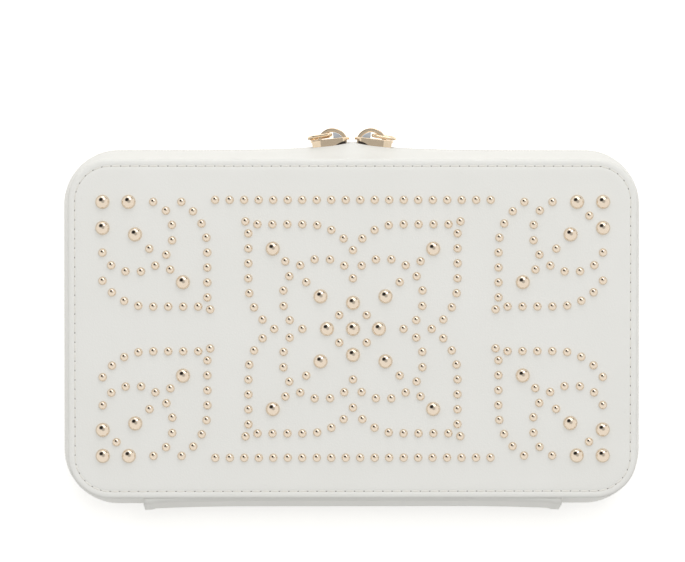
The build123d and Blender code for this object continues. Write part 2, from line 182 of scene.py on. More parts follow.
def ranged(tree, value, start, end, interpolation="LINEAR"):
    """Maps a value from one range to another."""
    node = tree.nodes.new("ShaderNodeMapRange")
    node.interpolation_type = interpolation
    node.inputs["From Min"].default_value = start[0]
    node.inputs["From Max"].default_value = start[1]
    node.inputs["To Min"].default_value = end[0]
    node.inputs["To Max"].default_value = end[1]
    tree.links.new(value, node.inputs["Value"])
    return node.outputs["Result"]


def dark_patch(tree, direction, reach, light_left):
    """A soft round patch of the dome about a direction: darkest in its middle and 1 outside it."""
    edges = [math.cos(math.radians(angle)) for angle in reach]
    along = along_direction(tree, Vector(direction).normalized())
    return ranged(tree, along, edges, (1.0, light_left), "SMOOTHSTEP")


world = bpy.data.worlds.new("studio dome")
bpy.context.scene.world = world
world.use_nodes = True
tree = world.node_tree
lighting = tree.nodes["Background"]
lighting.inputs["Color"].default_value = WHITE
towards_front = along_direction(tree, (0, -1, 0))
strengths = (DOME_LIGHT * (1 - DOME_SLOPE), DOME_LIGHT * (1 + DOME_SLOPE))
strength = ranged(tree, towards_front, (-1, 1), strengths, "SMOOTHSTEP")
tree.links.new(strength, lighting.inputs["Strength"])
showing = tree.nodes.new("ShaderNodeBackground")
shade = dark_patch(tree, *OPENING)
for patch in (STAND, PANEL):
    shade = maths(tree, "MULTIPLY", shade, dark_patch(tree, *patch))
tree.links.new(shade, showing.inputs["Color"])
either_dome = tree.nodes.new("ShaderNodeMixShader")
tree.links.new(picture_rays(tree), either_dome.inputs["Fac"])
tree.links.new(lighting.outputs[0], either_dome.inputs[1])
tree.links.new(showing.outputs[0], either_dome.inputs[2])
tree.links.new(either_dome.outputs[0], tree.nodes["World Output"].inputs["Surface"])
print("the dome's light from back to front:", [round(light, 2) for light in strengths])

# %% [markdown]
# The floor lies a hair below the case. It has a little glow of its own for the camera and for reflections,
# which takes it to white and still shows the shadow behind the spine.

# %% Floor
FLOOR_SIZE = 6.0
FLOOR_DROP = 0.2 * MM
FLOOR_COLOUR = (0.86, 0.85, 0.82, 1)
FLOOR_GLOW = 0.48

ground = bmesh.new()
bmesh.ops.create_grid(ground, x_segments=1, y_segments=1, size=FLOOR_SIZE)
bmesh.ops.translate(ground, vec=(0, 0, -FLOOR_DROP), verts=ground.verts)
floor = add_object("floor", to_mesh(ground, "floor"))
floor_paint = bpy.data.materials.new("floor paint")
floor_paint.use_nodes = True
tree = floor_paint.node_tree
paint = tree.nodes["Principled BSDF"]
paint.inputs["Base Color"].default_value = FLOOR_COLOUR
paint.inputs["Roughness"].default_value = 0.9
paint.inputs["Specular IOR Level"].default_value = 0.0
paint.inputs["Emission Color"].default_value = WHITE
glow = maths(tree, "MULTIPLY", picture_rays(tree), FLOOR_GLOW)
tree.links.new(glow, paint.inputs["Emission Strength"])
floor.data.materials.append(floor_paint)
print("the floor glows by", FLOOR_GLOW)

# %% [markdown]
# Two lamps at the front lift the front wall. A third, overhead and a little to the front, keeps the shadow
# behind the spine short, and the studs don't mirror it.

# %% Lamps
# place and size in metres, and power in watts
LAMPS = {
    "right lamp": ((-0.45, -1.1, 0.95), 0.5, 2.4),
    "low lamp": ((0.1, -1.4, 0.45), 0.6, 1.35),
    "overhead lamp": ((0, -0.22, 1.2), 0.35, 3.4),
}


def soft_lamp(name, place, size, power):
    """A square lamp that faces the middle of the lid."""
    data = bpy.data.lights.new(name, "AREA")
    data.size = size
    data.energy = power
    lamp = add_object(name, data)
    lamp.location = place
    facing = Vector((0, 0, FACE_TOP)) - lamp.location
    lamp.rotation_mode = "QUATERNION"
    lamp.rotation_quaternion = facing.to_track_quat("-Z", "Y")
    return lamp


lamps = {name: soft_lamp(name, *values) for name, values in LAMPS.items()}
lamps["overhead lamp"].visible_glossy = False
print("lamps:", list(lamps))

# %% [markdown]
# Finishes come next. A small helper starts each material, and another starts a node group: the leather,
# the suede and the plated metal share groups for their grain, nap and wear, with their own values.

# %% Material helpers


def start_material(name, roughness, metallic=0.0):
    """A material with its node tree, its shader and its object coordinates."""
    material = bpy.data.materials.new(name)
    material.use_nodes = True
    tree = material.node_tree
    shader = tree.nodes["Principled BSDF"]
    shader.inputs["Roughness"].default_value = roughness
    shader.inputs["Metallic"].default_value = metallic
    place = tree.nodes.new("ShaderNodeTexCoord").outputs["Object"]
    return material, tree, shader, place


def start_group(name, inputs, outputs):
    """A shader group with float inputs (and a Vector) and float outputs."""
    group = bpy.data.node_groups.new(name, "ShaderNodeTree")
    group.interface.new_socket("Vector", in_out="INPUT", socket_type="NodeSocketVector")
    for label, value in inputs.items():
        socket = group.interface.new_socket(label, in_out="INPUT", socket_type="NodeSocketFloat")
        socket.default_value = value
    for label in outputs:
        group.interface.new_socket(label, in_out="OUTPUT", socket_type="NodeSocketFloat")
    return group, group.nodes.new("NodeGroupInput"), group.nodes.new("NodeGroupOutput")


def use_group(tree, group, place, **values):
    """Places a group in a material and sets its values."""
    node = tree.nodes.new("ShaderNodeGroup")
    node.node_tree = group
    tree.links.new(place, node.inputs["Vector"])
    for label, value in values.items():
        node.inputs[label.replace("_", " ")].default_value = value
    return node


def two_tone(tree, shader, share, first, second):
    """Gives a shader the first colour where share is 0 and the second where it is 1."""
    mix = tree.nodes.new("ShaderNodeMix")
    mix.data_type = "RGBA"
    mix.inputs["A"].default_value = (*first, 1)
    mix.inputs["B"].default_value = (*second, 1)
    tree.links.new(share, mix.inputs["Factor"])
    tree.links.new(mix.outputs["Result"], shader.inputs["Base Color"])


def raise_surface(tree, shader, height, depth):
    """Bump of the given depth, in metres, into the shader's normal."""
    bump = tree.nodes.new("ShaderNodeBump")
    bump.inputs["Distance"].default_value = depth
    tree.links.new(height, bump.inputs["Height"])
    tree.links.new(bump.outputs["Normal"], shader.inputs["Normal"])


# %% [markdown]
# Smooth calf leather has a pebble grain well under a millimetre, so from a step away it only breaks up
# the sheen. Its group adds the pebbles to faint pores, and a broad mottle for the dye. Suede has fine fibres
# that lie in strokes, and plated metal is scuffed.

# %% Grain, nap and wear groups
PORES_PER_METRE = 5200.0
PORE_SHARE = 0.4
FIBRES_PER_METRE = 2600.0


def noise(group, place, scale, detail=2.0):
    """Noise at a scale that is a number or comes from a socket."""
    node = group.nodes.new("ShaderNodeTexNoise")
    node.inputs["Detail"].default_value = detail
    group.links.new(place, node.inputs["Vector"])
    if isinstance(scale, float):
        node.inputs["Scale"].default_value = scale
    else:
        group.links.new(scale, node.inputs["Scale"])
    return node.outputs["Fac"]


leather_grain, inside, outside = start_group(
    "leather grain", {"Pebbles per metre": 1500.0, "Mottle per metre": 45.0}, ["Height", "Mottle"]
)
pebble = leather_grain.nodes.new("ShaderNodeTexVoronoi")
pebble.feature = "SMOOTH_F1"
leather_grain.links.new(inside.outputs["Vector"], pebble.inputs["Vector"])
leather_grain.links.new(inside.outputs["Pebbles per metre"], pebble.inputs["Scale"])
fine = noise(leather_grain, inside.outputs["Vector"], PORES_PER_METRE)
both = maths(leather_grain, "MULTIPLY_ADD", fine, PORE_SHARE, pebble.outputs["Distance"])
leather_grain.links.new(both, outside.inputs["Height"])
mottle = noise(leather_grain, inside.outputs["Vector"], inside.outputs["Mottle per metre"])
leather_grain.links.new(mottle, outside.inputs["Mottle"])

suede_nap, inside, outside = start_group("suede nap", {"Strokes per metre": 90.0}, ["Height", "Stroke"])
fibre = noise(suede_nap, inside.outputs["Vector"], FIBRES_PER_METRE, 4.0)
suede_nap.links.new(fibre, outside.inputs["Height"])
stroke = noise(suede_nap, inside.outputs["Vector"], inside.outputs["Strokes per metre"], 3.0)
suede_nap.links.new(stroke, outside.inputs["Stroke"])

plate_wear, inside, outside = start_group("plate wear", {"Scuffs per metre": 900.0}, ["Scuff"])
scuff = noise(plate_wear, inside.outputs["Vector"], inside.outputs["Scuffs per metre"], 3.0)
plate_wear.links.new(scuff, outside.inputs["Scuff"])
print("groups:", [group.name for group in bpy.data.node_groups])

# %% [markdown]
# Leather, suede, plated metal and the mirror use the groups.

# %% Leather, suede and metal
LEAST_WORN = 0.7
MOST_WORN = 1.5


def leather_finish():
    material, tree, shader, place = start_material("ivory leather", 0.45)
    grain = use_group(tree, leather_grain, place)
    two_tone(tree, shader, grain.outputs["Mottle"], (0.80, 0.795, 0.755), (0.83, 0.825, 0.79))
    rough = ranged(tree, grain.outputs["Mottle"], (0, 1), (0.40, 0.50))
    tree.links.new(rough, shader.inputs["Roughness"])
    shader.inputs["Specular IOR Level"].default_value = 0.4
    raise_surface(tree, shader, grain.outputs["Height"], 0.03 * MM)
    return material


def suede_finish(name, light, dark):
    material, tree, shader, place = start_material(name, 0.95)
    nap = use_group(tree, suede_nap, place)
    two_tone(tree, shader, nap.outputs["Stroke"], dark, light)
    shader.inputs["Sheen Weight"].default_value = 0.35
    shader.inputs["Sheen Roughness"].default_value = 0.4
    raise_surface(tree, shader, nap.outputs["Height"], 0.12 * MM)
    return material


def plated_finish(name, colour, deep, roughness):
    material, tree, shader, place = start_material(name, roughness, metallic=1.0)
    wear = use_group(tree, plate_wear, place)
    two_tone(tree, shader, wear.outputs["Scuff"], colour, deep)
    rough = ranged(tree, wear.outputs["Scuff"], (0, 1), (roughness * LEAST_WORN, roughness * MOST_WORN))
    tree.links.new(rough, shader.inputs["Roughness"])
    return material


def mirror_finish():
    material, tree, shader, place = start_material("mirror silver", 0.03, metallic=1.0)
    wear = use_group(tree, plate_wear, place, Scuffs_per_metre=40.0)
    two_tone(tree, shader, wear.outputs["Scuff"], (0.90, 0.92, 0.92), (0.94, 0.95, 0.95))
    rough = ranged(tree, wear.outputs["Scuff"], (0, 1), (0.01, 0.04))
    tree.links.new(rough, shader.inputs["Roughness"])
    return material


# %% [markdown]
# Thread, needle holes, zip tape and the plain finishes of coil, board and foam are simpler: a noise or a
# wave sets both the colour and the relief.

# %% Thread, zip and board
TWILL = 0.7 * MM


def thread_finish():
    material, tree, shader, place = start_material("sewing thread", 0.6)
    ply = noise(tree, place, 3000.0)
    two_tone(tree, shader, ply, (0.73, 0.71, 0.645), (0.84, 0.82, 0.765))
    raise_surface(tree, shader, ply, 0.05 * MM)
    return material


# painted shade: the needle holes are flat dark beads on the leather, coloured like the shade inside a hole
def needle_hole_shade_finish():
    material, tree, shader, place = start_material("painted needle-hole shade", 0.9)
    shade = noise(tree, place, 2000.0)
    two_tone(tree, shader, shade, (0.13, 0.11, 0.09), (0.25, 0.22, 0.185))
    return material


def tape_finish():
    """A twill: fine slanting lines. X and Y are added, so that they run on from the front to the ends."""
    material, tree, shader, place = start_material("zip tape", 0.85)
    split = tree.nodes.new("ShaderNodeSeparateXYZ")
    tree.links.new(place, split.inputs[0])
    run = maths(tree, "ADD", split.outputs["X"], split.outputs["Y"])
    slant = maths(tree, "ADD", run, split.outputs["Z"])
    wave = maths(tree, "SINE", maths(tree, "MULTIPLY", slant, 2 * math.pi / TWILL))
    rib = ranged(tree, wave, (-1, 1), (0, 1))
    two_tone(tree, shader, rib, (0.70, 0.69, 0.65), (0.80, 0.79, 0.75))
    raise_surface(tree, shader, rib, 0.08 * MM)
    return material


def plain_finish(name, light, dark, roughness, grain_per_metre, depth):
    material, tree, shader, place = start_material(name, roughness)
    fleck = noise(tree, place, grain_per_metre, 4.0)
    two_tone(tree, shader, fleck, dark, light)
    raise_surface(tree, shader, fleck, depth)
    return material


# %% [markdown]
# The finishes themselves: leather, thread and needle holes on the outside, plated metal for studs and
# sliders, woven tape and moulded coil for the zip, suede inside, and board and foam in the walls.

# %% Finishes
IVORY_LEATHER = leather_finish()
SUEDE = suede_finish("suede lining", (0.66, 0.58, 0.47), (0.54, 0.46, 0.36))
ROLL_SUEDE = suede_finish("suede roll", (0.68, 0.60, 0.49), (0.55, 0.47, 0.37))
STUD_METAL = plated_finish("stud metal", (0.84, 0.725, 0.59), (0.79, 0.66, 0.52), 0.10)
SLIDER_METAL = plated_finish("slider metal", (0.89, 0.74, 0.55), (0.81, 0.64, 0.45), 0.15)
SPRING_STEEL = plated_finish("spring steel", (0.82, 0.85, 0.88), (0.74, 0.77, 0.80), 0.28)
THREAD = thread_finish()
# painted shade for the needle holes
NEEDLE_HOLE_SHADE = needle_hole_shade_finish()
ZIP_TAPE = tape_finish()
ZIP_COIL = plain_finish("zip coil", (0.84, 0.83, 0.80), (0.78, 0.77, 0.73), 0.38, 700.0, 0.01 * MM)
BOARD = plain_finish("case board", (0.50, 0.46, 0.40), (0.38, 0.34, 0.29), 0.9, 1200.0, 0.05 * MM)
FOAM = plain_finish("padding foam", (0.80, 0.78, 0.70), (0.62, 0.60, 0.53), 0.95, 1500.0, 0.2 * MM)
# painted shade: a near-black finish for the slits under the sliders' noses, standing for the shadow in them
MOUTH_PAINTED_SHADE = plain_finish(
    "painted mouth shade", (0.045, 0.034, 0.026), (0.015, 0.012, 0.010), 0.8, 1500.0, 0.02 * MM
)
MIRROR = mirror_finish()
print("finishes:", len(bpy.data.materials))

# %% [markdown]
# Most of the case is a rounded rectangle that changes size with height, so one helper draws such an
# outline as a loop of edges: a square is scaled, its corners are bevelled round, and its sides are cut
# into steps. A second helper bridges a row of loops into a skin. Loops cut in the same way have the same
# number of points, so the bridges are clean quads. Loops at one height can be bridged the wrong way round,
# so they are first stacked well apart, bridged, and then brought to their own heights. The skin is either
# a closed ring, such as a wall, or a slab with a flat face at both ends, such as a panel.

# %% Outline loops
CORNER_STEPS = 10
SIDE_CUTS = 23
STACK = 50 * MM


def outline_loop(bm, length, depth, corner, height):
    """Edges of a level rounded rectangle."""
    known = set(bm.edges)
    square = bmesh.ops.create_grid(bm, x_segments=1, y_segments=1, size=0.5)["verts"]
    bmesh.ops.scale(bm, vec=(length, depth, 1), verts=square)
    bmesh.ops.translate(bm, vec=(0, 0, height), verts=square)
    bmesh.ops.bevel(
        bm, geom=square, offset=corner, affect="VERTICES", segments=CORNER_STEPS, profile=0.5, material=-1
    )
    drawn = [edge for edge in bm.edges if edge not in known]
    bmesh.ops.delete(bm, geom=list(drawn[0].link_faces), context="FACES_ONLY")
    sides = sorted(drawn, key=lambda edge: edge.calc_length())[-4:]
    bmesh.ops.subdivide_edges(bm, edges=sides, cuts=SIDE_CUTS)
    return [edge for edge in bm.edges if edge not in known]


def skin(levels, closed):
    """A bmesh of loops at (length, depth, corner, height) levels: a ring if closed, and else a slab."""
    bm = bmesh.new()
    loops = [outline_loop(bm, *level[:3], STACK * i) for i, level in enumerate(levels)]
    pairs = list(zip(loops, loops[1:]))
    if closed:
        pairs.append((loops[-1], loops[0]))
    for first, second in pairs:
        bmesh.ops.bridge_loops(bm, edges=first + second)
    for i, loop in enumerate(loops):
        points = list({vert for edge in loop for vert in edge.verts})
        bmesh.ops.translate(bm, vec=(0, 0, levels[i][3] - STACK * i), verts=points)
    if not closed:
        for loop in (loops[0], loops[-1]):
            bmesh.ops.contextual_create(bm, geom=loop)["faces"][0].smooth = False
    return bm


def finish_piece(bm, name, material, body=None, smooth=True):
    """Turns a bmesh into a piece of the object. Faces with many corners are flat and stay so."""
    for face in bm.faces:
        if smooth and len(face.verts) < 5:
            face.smooth = True
    bmesh.ops.recalc_face_normals(bm, faces=bm.faces)
    piece = add_object(name, to_mesh(bm, name))
    piece.data.materials.append(material)
    if body:
        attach(piece, body)
    print(f"{name}: {len(piece.data.polygons)} faces")
    return piece


# %% [markdown]
# Sizes that the loops need and the frame's boxes can't tell: the corner radii, the thickness of the
# layers and the depth of each tray. Depth is counted from a face inwards, up in the base and down in the
# lid, so both halves share one description.

# %% Trays
FACE_CORNER = 16.6 * MM
RIM_CORNER = 22 * MM
LEATHER = 1.2 * MM
FACE_LIP = 0.5 * MM

HALVES = {}
for half, inwards in (("base", 1), ("lid", -1)):
    low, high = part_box(f"{half}_wall_leather")
    face_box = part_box(f"{half}_face_leather")
    HALVES[half] = {
        "inwards": inwards,
        "face": face_box[0].z if inwards > 0 else face_box[1].z,
        "height": high.z - low.z + LEATHER,
        "face_size": (face_box[1].x - face_box[0].x, face_box[1].y - face_box[0].y),
        "rim_size": (high.x - low.x, high.y - low.y),
    }


def wall_level(half, depth, inset):
    """Length, depth, corner and height of the wall's outline, set in from its outer side."""
    tray = HALVES[half]
    share = min(max((depth - LEATHER) / (tray["height"] - LEATHER), 0), 1)
    size = [
        (face - 2 * FACE_LIP) * (1 - share) + rim * share - 2 * inset
        for face, rim in zip(tray["face_size"], tray["rim_size"])
    ]
    corner = (FACE_CORNER - FACE_LIP) * (1 - share) + RIM_CORNER * share - inset
    return *size, corner, tray["face"] + tray["inwards"] * depth


def face_level(half, depth, inset):
    """The same for the face panel, whose outline is the same at every depth."""
    tray = HALVES[half]
    length, across = tray["face_size"]
    height = tray["face"] + tray["inwards"] * depth
    return length - 2 * inset, across - 2 * inset, FACE_CORNER - inset, height


print({half: [round(x / MM, 1) for x in (tray["face"], tray["height"])] for half, tray in HALVES.items()})

# %% [markdown]
# Each face is a leather panel with a folded edge. The fold is soft, and a line of stitches presses a
# shallow channel beside it. Drawn as a section, that is a list of insets and depths, and the loops turn
# the section into the panel.

# %% Face panels
STITCH_INSET = 2.6 * MM
CHANNEL = 0.22 * MM
# inset and depth in millimetres, from under the panel round its fold and through its channel
PANEL_SECTION = [
    (6.0, 1.2), (1.0, 1.2), (0.35, 1.12), (0.06, 0.9), (0.0, 0.68), (0.06, 0.46), (0.26, 0.24), (0.6, 0.09),
    (1.05, 0.02), (1.6, 0.0), (2.1, 0.05), (2.6, 0.22), (3.1, 0.06), (3.7, 0.0), (4.6, -0.03), (6.5, -0.02),
    (9.0, 0.0),
]


def face_panel(half):
    bm = skin([face_level(half, depth * MM, inset * MM) for inset, depth in PANEL_SECTION], closed=False)
    panel = finish_piece(bm, f"{half}_face_panel", IVORY_LEATHER, half)
    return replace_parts(panel, f"{half}_face_leather")


for half in HALVES:
    face_panel(half)

# %% [markdown]
# The walls lean outwards from the face to the zip. The leather is turned in at the rim, so its section is
# a closed strip: down the outside, round the rim and back up inside, and under the face panel. A rounded
# shoulder at its top fills the crease beside the panel. Near the sliders the chain pushes the front wall
# out into a low swelling.

# %% Walls
TURN_UNDER = 6 * MM
# inset and depth in millimetres of the shoulder, and of the turned rim, whose depth is counted back from it
SHOULDER = ((-0.3, 1.16), (-0.45, 1.02), (-0.58, 1.0), (-0.7, 1.15), (-0.75, 1.6), (-0.7, 2.6), (-0.45, 5.0))
TURNED_RIM = ((0.0, 1.2), (0.12, 0.5), (0.4, 0.1), (0.75, 0.05), (1.1, 0.3), (1.2, 0.8))
BULGE = 0.15 * MM
BULGE_SHARES = (0.4, 0.65)
FRONT_CROWN = 0.4 * MM
FRONT_CROWN_LENGTH = 60 * MM
SWELLS = ((1.6 * MM, 22 * MM), (1.6 * MM, 6.5 * MM))
FRONT_START = 50 * MM
FRONT_FULL = 68 * MM
RAIL_SWELL = 0.5 * MM
RAIL_START = 0.2 * MM
RAIL_END = 1.4 * MM
BEND = 0.1 * MM


def front_swell(x):
    """How far the front edge stands out at a place along it."""
    crown = FRONT_CROWN * max(0, 1 - (x / FRONT_CROWN_LENGTH) ** 2)
    return crown + sum(rise * math.exp(-((x / length) ** 2)) for rise, length in SWELLS)


def swell_front(bm, half, start=0.0):
    """Pushes the front out beyond a depth, from nothing at the face to the full swelling at the rim. Just
    past the rim the tape stays back, because the rails of the sliders run there."""
    tray = HALVES[half]
    for vert in bm.verts:
        depth = abs(vert.co.z - tray["face"])
        if depth < start + BEND:
            continue
        push = front_swell(vert.co.x) * min(depth / tray["height"], 1) ** 2
        if RAIL_START < depth - tray["height"] < RAIL_END:
            push = min(push, RAIL_SWELL)
        front = min(max((-vert.co.y - FRONT_START) / (FRONT_FULL - FRONT_START), 0), 1)
        vert.co.y -= push * front


def wall(half):
    height = HALVES[half]["height"]
    section = [
        (TURN_UNDER, LEATHER), (0.0, LEATHER),
        *((inset * MM, depth * MM) for inset, depth in SHOULDER),
        *((-BULGE, height * share) for share in BULGE_SHARES),
        *((inset * MM, height - left * MM) for inset, left in TURNED_RIM),
        (LEATHER, height / 2), (LEATHER, 2 * LEATHER), (TURN_UNDER, 2 * LEATHER),
    ]
    bm = skin([wall_level(half, depth, inset) for inset, depth in section], closed=True)
    swell_front(bm, half)
    piece = finish_piece(bm, f"{half}_wall", IVORY_LEATHER, half)
    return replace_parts(piece, f"{half}_wall_leather")


for half in HALVES:
    wall(half)

# %% [markdown]
# Small things that repeat, such as stitches, studs and zip teeth, are stamped: one small mesh is copied to
# every place into a single piece. The places come from walking along an outline in even steps.

# %% Stamping


def outline_length(length, depth, corner):
    """The way round a rounded rectangle."""
    return 2 * (length + depth) - (8 - 2 * math.pi) * corner


def along_outline(length, depth, corner, count, shift=0.0):
    """Even places round a rounded rectangle, as (point, direction of travel, outward direction)."""
    runs = [length - 2 * corner, depth - 2 * corner] * 2
    arc = math.pi / 2 * corner
    total = sum(runs) + 4 * arc
    places = []
    for i in range(count):
        left = ((i + shift) / count * total) % total
        turn = 0.0
        start = Vector((-runs[0] / 2, -depth / 2))
        for run in runs:
            ahead = Vector((math.cos(turn), math.sin(turn)))
            outward = Vector((ahead.y, -ahead.x))
            if left <= run:
                places.append((start + ahead * left, ahead, outward))
                break
            left -= run
            start += ahead * run
            if left <= arc:
                swing = left / corner
                centre = start - outward * corner
                turned = Matrix.Rotation(swing, 2)
                places.append((centre + turned @ outward * corner, turned @ ahead, turned @ outward))
                break
            left -= arc
            start += (ahead - outward) * corner
            turn += math.pi / 2
    return places, total / count


def upright(point, ahead, outward, height):
    """A place with its X along the outline, its Y inwards and its Z up."""
    axes = Matrix((ahead.to_3d(), (-outward).to_3d(), Vector((0, 0, 1)))).transposed().to_4x4()
    return Matrix.Translation((point.x, point.y, height)) @ axes


def bead(length, width, thickness, around=8, rings=5):
    """A rounded bead, lengthwise along X, as a mesh to stamp."""
    bm = bmesh.new()
    bmesh.ops.create_uvsphere(bm, u_segments=around, v_segments=rings, radius=0.5)
    bmesh.ops.rotate(bm, matrix=Matrix.Rotation(math.pi / 2, 3, "Y"), verts=bm.verts)
    bmesh.ops.scale(bm, vec=(length, width, thickness), verts=bm.verts)
    return to_mesh(bm, "bead")


def stamp(mesh, places):
    """One bmesh with a copy of the mesh at every place."""
    bm = bmesh.new()
    for place in places:
        copy = mesh.copy()
        copy.transform(place)
        bm.from_mesh(copy)
        bpy.data.meshes.remove(copy)
    bpy.data.meshes.remove(mesh)
    return bm


# %% [markdown]
# The stitches are short beads of thread that lie in the channel. The needle leaves a small hole between one
# stitch and the next, and the shade in it is what the eye sees first on ivory leather. That shade is painted:
# each hole is a flat dark bead that lies on the leather.

# %% Stitches and needle holes
STITCH_COUNT = 181
STITCH_GAP = 0.45 * MM
THREAD_WIDTH = 0.6 * MM
THREAD_HEIGHT = 0.36 * MM
THREAD_RISE = 0.05 * MM
HOLE = 0.8 * MM
HOLE_HEIGHT = 0.10 * MM
HOLE_RISE = 0.01 * MM

for half, tray in HALVES.items():
    length, across, corner, level = face_level(half, CHANNEL, STITCH_INSET)
    outwards = -tray["inwards"]
    places, pitch = along_outline(length, across, corner, STITCH_COUNT)
    stitch = bead(pitch - STITCH_GAP, THREAD_WIDTH, THREAD_HEIGHT)
    thread = stamp(stitch, [upright(*place, level + outwards * THREAD_RISE) for place in places])
    finish_piece(thread, f"{half}_stitches", THREAD, half)
    places, pitch = along_outline(length, across, corner, STITCH_COUNT, shift=0.5)
    dot = bead(HOLE, HOLE, HOLE_HEIGHT, around=6, rings=4)
    holes = stamp(dot, [upright(*place, level + outwards * HOLE_RISE) for place in places])
    finish_piece(holes, f"{half}_needle_hole_shade", NEEDLE_HOLE_SHADE, half)
    print(half, "stitch pitch", round(pitch / MM, 2), "mm")

# %% [markdown]
# A stud is a polished dome that stands steeply on the leather, so its edge mirrors the leather beside it
# and looks darker than its top. A quarter of an ellipse is spun into a dome of a few dozen faces, which
# smooth shading makes round. The frame already knows where the studs sit: the highest points of each stud
# node are the tops of its domes.

# %% Studs
# node, diameter, and steps round and up the dome
STUDS = (("large_studs", 5.8 * MM, 20, 6), ("small_studs", 3.5 * MM, 14, 5))
STUD_SEAT = 0.2 * MM
SAME_POINT = 0.001 * MM
TIP = 0.002 * MM


def stud_mesh(diameter, height, around, rings):
    """A dome on Z 0: a quarter of an ellipse, spun, and closed by a seat that is sunk in the leather."""
    bm = bmesh.new()
    section = [bm.verts.new((diameter / 2, 0, -STUD_SEAT))]
    for i in range(rings + 1):
        angle = math.pi / 2 * i / rings
        section.append(bm.verts.new((diameter / 2 * math.cos(angle), 0, height * math.sin(angle))))
    lines = [bm.edges.new(pair) for pair in zip(section, section[1:])]
    bmesh.ops.spin(
        bm, geom=section + lines, axis=(0, 0, 1), cent=(0, 0, 0),
        angle=2 * math.pi, steps=around, use_merge=True,
    )
    bmesh.ops.remove_doubles(bm, verts=bm.verts, dist=SAME_POINT)
    bmesh.ops.holes_fill(bm, edges=[edge for edge in bm.edges if edge.is_boundary], sides=around)
    return to_mesh(bm, "stud")


for node, diameter, around, rings in STUDS:
    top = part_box(node)[1].z
    points = [vert.co for vert in nodes[node].data.vertices if vert.co.z > top - TIP]
    tips = {(round(point.x, 5), round(point.y, 5)) for point in points}
    places = [Matrix.Translation((x, y, FACE_TOP)) for x, y in sorted(tips)]
    studs = stamp(stud_mesh(diameter, top - FACE_TOP, around, rings), places)
    piece = finish_piece(studs, f"{node}_domes", STUD_METAL, "lid")
    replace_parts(piece, node)
    print(len(places), node)

# %% [markdown]
# The zip runs round the front and both ends, and its ends are tucked in behind the spine. Each tape is a
# thin closed strip. The coil on it is a row of moulded turns that reach past the middle, so that the two
# rows mesh like fingers.

# %% Zip tapes and coils
TAPE_INSET = 1.3 * MM
TAPE = 0.7 * MM
TAPE_SEAM = 6 * MM
TAPE_TUCK = 6 * MM
CUT_SIDES = 12
COIL_PITCH = 1.25 * MM
COIL_INSET = 0.4 * MM
COIL_REACH = 0.95 * MM
COIL_WIDTH = 0.92 * COIL_PITCH
COIL_THICKNESS = 1.5 * MM
COIL_SWELL = 0.9
STRAIGHT = 0.99
SWAP_X_AND_Y = Matrix(((0, 1, 0, 0), (1, 0, 0, 0), (0, 0, 1, 0), (0, 0, 0, 1)))
zip_low, zip_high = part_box("base_wall_leather")[1].z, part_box("lid_wall_leather")[0].z
ZIP_MIDDLE = (zip_low + zip_high) / 2


def cut_behind_spine(bm, half_length):
    """Takes away what lies behind the spine and closes the cut ends."""
    for side in (-1, 1):
        everything = bm.verts[:] + bm.edges[:] + bm.faces[:]
        bmesh.ops.bisect_plane(
            bm, geom=everything, plane_co=(side * half_length, 0, 0), plane_no=(1, 0, 0)
        )
    behind = [
        face for face in bm.faces
        if abs(face.calc_center_median().x) < half_length and face.calc_center_median().y > 0
    ]
    bmesh.ops.delete(bm, geom=behind, context="FACES")
    bmesh.ops.holes_fill(bm, edges=[edge for edge in bm.edges if edge.is_boundary], sides=CUT_SIDES)


def zip_tape(half):
    low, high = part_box(f"{half}_zip_tape")
    rim = HALVES[half]["height"]
    end = abs((high.z if half == "base" else low.z) - HALVES[half]["face"])
    outer = [rim - TAPE_SEAM, rim, rim + RAIL_START + BEND, rim + RAIL_END - BEND, rim + RAIL_END + BEND, end]
    section = [(TAPE_INSET, depth) for depth in outer]
    section += [(TAPE_INSET + TAPE, depth) for depth in reversed(outer)]
    bm = skin([wall_level(half, depth, inset) for inset, depth in section], closed=True)
    cut_behind_spine(bm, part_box("spine_leather")[1].x - TAPE_TUCK)
    swell_front(bm, half)
    piece = finish_piece(bm, f"{half}_tape", ZIP_TAPE, half, smooth=False)
    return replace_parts(piece, f"{half}_zip_tape")


def zip_coil(half):
    low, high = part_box(f"{half}_zip_coil")
    root = low.z if half == "base" else high.z
    tip = ZIP_MIDDLE + HALVES[half]["inwards"] * COIL_REACH
    length, across, corner = wall_level(half, HALVES[half]["height"], COIL_INSET)[:3]
    count = round(outline_length(length, across, corner) / COIL_PITCH)
    places, pitch = along_outline(length, across, corner, count, shift=0.0 if half == "base" else 0.5)
    spine_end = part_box("spine_leather")[1].x
    turns = []
    for point, ahead, outward in places:
        if abs(point.x) < spine_end and point.y > 0:
            continue
        if point.y < 0 and abs(outward.y) > STRAIGHT:
            point = point - Vector((0, COIL_SWELL * front_swell(point.x)))
        turns.append(upright(point, ahead, outward, (root + tip) / 2))
    tooth = bead(abs(tip - root), COIL_WIDTH, COIL_THICKNESS)
    tooth.transform(Matrix.Rotation(math.pi / 2, 4, "Y"))
    tooth.transform(SWAP_X_AND_Y)
    piece = finish_piece(stamp(tooth, turns), f"{half}_coil", ZIP_COIL, half)
    print(len(turns), "turns at", round(pitch / MM, 2), "mm")
    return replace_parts(piece, f"{half}_zip_coil")


for half in HALVES:
    zip_tape(half)
    zip_coil(half)

# %% [markdown]
# The spine is one strip of leather over the back of both halves, and the lid turns about it. A fine grid
# takes the shape of the walls behind it, with a turned hem at each end, and gets its thickness last. A narrow
# suede lining covers the zip gap between the halves from inside.

# %% Spine and hinge lining
ROW = 1.0 * MM
COLUMN = 1.5 * MM
SOFTENED = 3
SPINE_STAND = 1.5 * MM
SPINE_FLARE = 1.0 * MM
SPINE_FLARE_LENGTH = 40 * MM
HEM = 4 * MM
HEM_RISE = 0.4 * MM
GLUE = 0.1 * MM
SKIVE = 1.0 * MM
SKIVE_LENGTH = 2.5 * MM
spine_low, spine_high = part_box("spine_leather")
lining_low, lining_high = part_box("hinge_lining")


